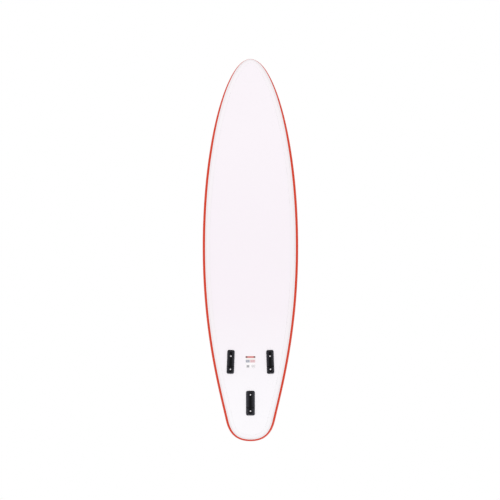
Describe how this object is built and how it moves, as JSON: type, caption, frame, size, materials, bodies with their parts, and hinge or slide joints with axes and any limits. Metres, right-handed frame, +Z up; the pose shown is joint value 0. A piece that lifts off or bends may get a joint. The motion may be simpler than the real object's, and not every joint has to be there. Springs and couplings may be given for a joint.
{
  "type": "stand up paddleboard",
  "caption": "Inflatable board to stand on and paddle, with a drop-stitch hull, moulded fin bases, foam deck pads, a carry handle, swinging D-rings and a working inflation valve.",
  "frame": {"origin": "on the ground under the middle of the board's length and width; the flat middle of the bottom panel is at z = 0", "axes": "+Y to the nose, +X to starboard, +Z up through the deck"},
  "size_m": [0.79, 3.1996, 0.3404],
  "materials": {
    "white_pvc": "semi-gloss coated fabric",
    "red_pvc": "semi-gloss coated fabric",
    "yarn": "matt",
    "black_plastic": "satin moulded",
    "label_print": "printed film",
    "eva_foam": "closed-cell foam, brushed, stands in for EVA",
    "webbing": "woven",
    "neoprene": "knit-faced foam",
    "steel": "polished stainless",
    "grey_plastic": "satin moulded",
    "rubber": "matt"
  },
  "bodies": {
    "board": {"centre_fin_base": "black_plastic", "drop_stitch_section_01": "yarn", "drop_stitch_section_02": "yarn", "drop_stitch_section_03": "yarn", "drop_stitch_section_04": "yarn", "drop_stitch_section_05": "yarn", "drop_stitch_section_06": "yarn", "drop_stitch_section_07": "yarn", "drop_stitch_section_08": "yarn", "drop_stitch_section_09": "yarn", "drop_stitch_section_10": "yarn", "drop_stitch_section_11": "yarn", "front_handle_anchor": "webbing", "front_handle_patch": "white_pvc", "front_port_ring_loop": "webbing", "front_port_ring_patch": "white_pvc", "front_starboard_ring_loop": "webbing", "front_starboard_ring_patch": "white_pvc", "hull_bottom_panel": "white_pvc", "hull_deck_panel": "white_pvc", "information_label": "label_print", "lower_seam_tape": "white_pvc", "main_deck_pad": "eva_foam", "nose_ring_loop": "webbing", "nose_ring_patch": "white_pvc", "port_fin_base": "black_plastic", "rail_stripe": "red_pvc", "rail_wall": "white_pvc", "rear_handle_anchor": "webbing", "rear_handle_patch": "white_pvc", "rear_port_ring_loop": "webbing", "rear_port_ring_patch": "white_pvc", "rear_starboard_ring_loop": "webbing", "rear_starboard_ring_patch": "white_pvc", "starboard_fin_base": "black_plastic", "tail_deck_pad": "eva_foam", "tail_ring_loop": "webbing", "tail_ring_patch": "white_pvc", "upper_seam_tape": "white_pvc", "valve_backing_nut": "grey_plastic", "valve_body": "grey_plastic", "valve_cap_strap": "grey_plastic", "valve_gasket": "rubber", "valve_spring": "steel"},
    "carry_handle": {"handle_webbing": "webbing", "handle_grip": "neoprene"},
    "nose_ring": {"nose_d_ring": "steel"},
    "front_port_ring": {"front_port_d_ring": "steel"},
    "front_starboard_ring": {"front_starboard_d_ring": "steel"},
    "rear_port_ring": {"rear_port_d_ring": "steel"},
    "rear_starboard_ring": {"rear_starboard_d_ring": "steel"},
    "tail_ring": {"tail_d_ring": "steel"},
    "valve_lid": {"valve_cap": "grey_plastic", "valve_cap_seal": "rubber"},
    "valve_plunger": {"valve_stem": "grey_plastic", "valve_poppet_seal": "rubber"}
  },
  "joints": [
    {"name": "handle_swing", "type": "hinge", "parent": "board", "child": "carry_handle", "pos_m": [0, 0, 0.129], "axis": [0, 1, 0], "range_deg": [-50, 50], "stiffness_Nm_per_rad": 0.2},
    {"name": "nose_ring_hinge", "type": "hinge", "parent": "board", "child": "nose_ring", "pos_m": [0, 1.399, 0.29711], "axis": [-1, 0, 0], "range_deg": [0, 170]},
    {"name": "front_port_ring_hinge", "type": "hinge", "parent": "board", "child": "front_port_ring", "pos_m": [-0.14601, 1.12471, 0.21601], "axis": [-1, 0, 0], "range_deg": [0, 170]},
    {"name": "front_starboard_ring_hinge", "type": "hinge", "parent": "board", "child": "front_starboard_ring", "pos_m": [0.14601, 1.12471, 0.21601], "axis": [-1, 0, 0], "range_deg": [0, 170]},
    {"name": "rear_port_ring_hinge", "type": "hinge", "parent": "board", "child": "rear_port_ring", "pos_m": [-0.21348, 0.71319, 0.14414], "axis": [-1, 0, 0], "range_deg": [0, 170]},
    {"name": "rear_starboard_ring_hinge", "type": "hinge", "parent": "board", "child": "rear_starboard_ring", "pos_m": [0.21348, 0.71319, 0.14414], "axis": [-1, 0, 0], "range_deg": [0, 170]},
    {"name": "tail_ring_hinge", "type": "hinge", "parent": "board", "child": "tail_ring", "pos_m": [0, -1.47244, 0.16505], "axis": [-1, 0, 0], "range_deg": [0, 170]},
    {"name": "valve_cap_hinge", "type": "hinge", "parent": "board", "child": "valve_lid", "pos_m": [0, -1.3213, 0.16321], "axis": [-1, 0, 0], "range_deg": [0, 165]},
    {"name": "valve_stem_push", "type": "slide", "parent": "board", "child": "valve_plunger", "axis": [0, -0.04, -0.9992], "range_m": [0, 0.006], "stiffness_N_per_m": 400, "deforming": ["valve_spring"]}
  ]
}
